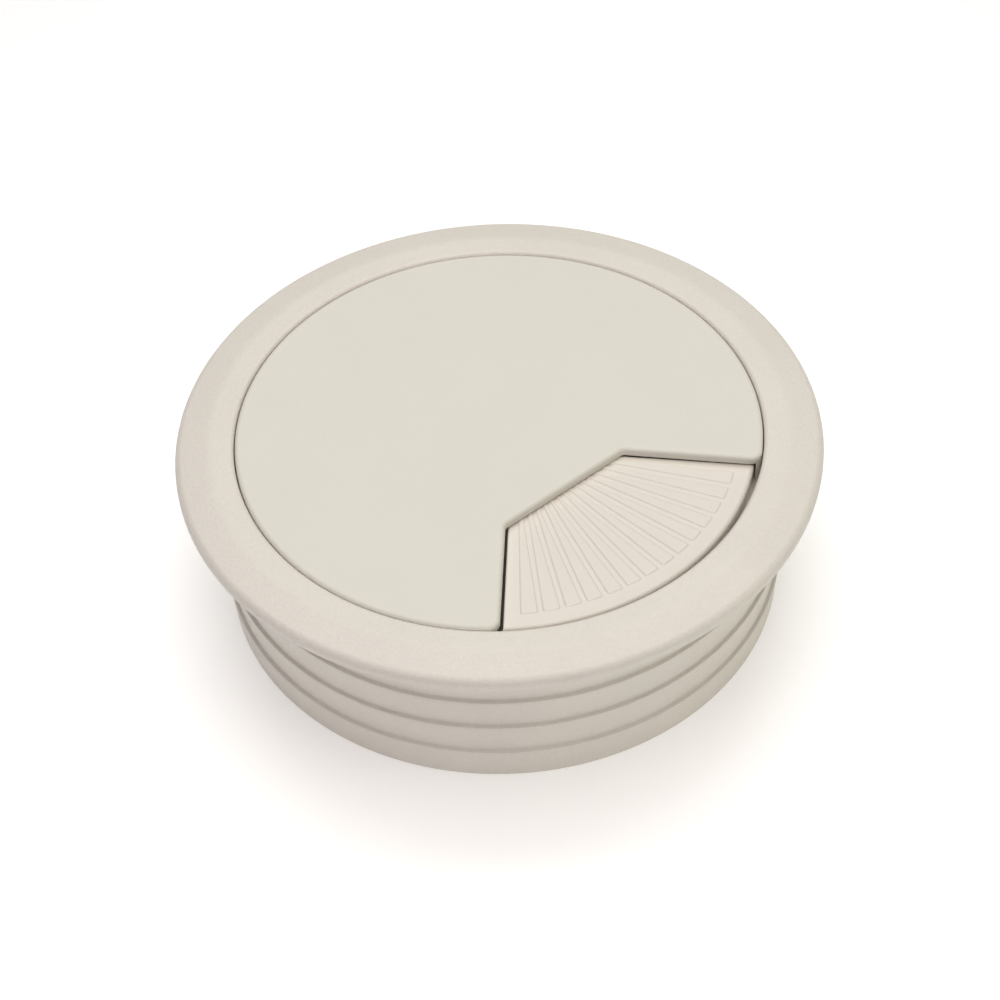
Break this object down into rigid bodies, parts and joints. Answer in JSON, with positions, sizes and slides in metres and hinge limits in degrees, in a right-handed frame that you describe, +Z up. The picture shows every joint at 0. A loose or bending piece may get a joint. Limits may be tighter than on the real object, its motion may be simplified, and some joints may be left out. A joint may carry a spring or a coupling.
{
  "type": "desk cable grommet",
  "caption": "Round desk cable grommet: barbed sleeve with a trim flange, drop-in cover with a wedge-shaped cable outlet, and a ribbed shutter that turns under the cover.",
  "frame": {"origin": "on the grommet's axis, in the plane of the flange's underside, which is the desk's top surface", "axes": "+Z up out of the desk along the grommet's axis; the cable outlet is centred on -Y at rest"},
  "size_m": [0.09, 0.09, 0.0271],
  "materials": {
    "sleeve_plastic": "fine spark-eroded texture, ivory",
    "cover_plastic": "fine spark-eroded texture, ivory",
    "shutter_plastic": "satin moulded, ivory",
    "pin_plastic": "satin moulded, ivory"
  },
  "bodies": {
    "sleeve": {"sleeve": "sleeve_plastic"},
    "pivot": {"pivot_pin": "pin_plastic"},
    "cover": {"cover": "cover_plastic"},
    "shutter": {"shutter": "shutter_plastic"}
  },
  "joints": [
    {"name": "cover_lift", "type": "slide", "parent": "sleeve", "child": "pivot", "axis": [0, 0, 1], "range_m": [0, 0.025]},
    {"name": "cover_turn", "type": "hinge", "parent": "pivot", "child": "cover", "pos_m": [0, 0, 0.0015], "axis": [0, 0, 1], "continuous": true},
    {"name": "shutter_turn", "type": "hinge", "parent": "cover", "child": "shutter", "pos_m": [0, 0, -0.001], "axis": [0, 0, 1], "range_deg": [-92, 0]}
  ]
}
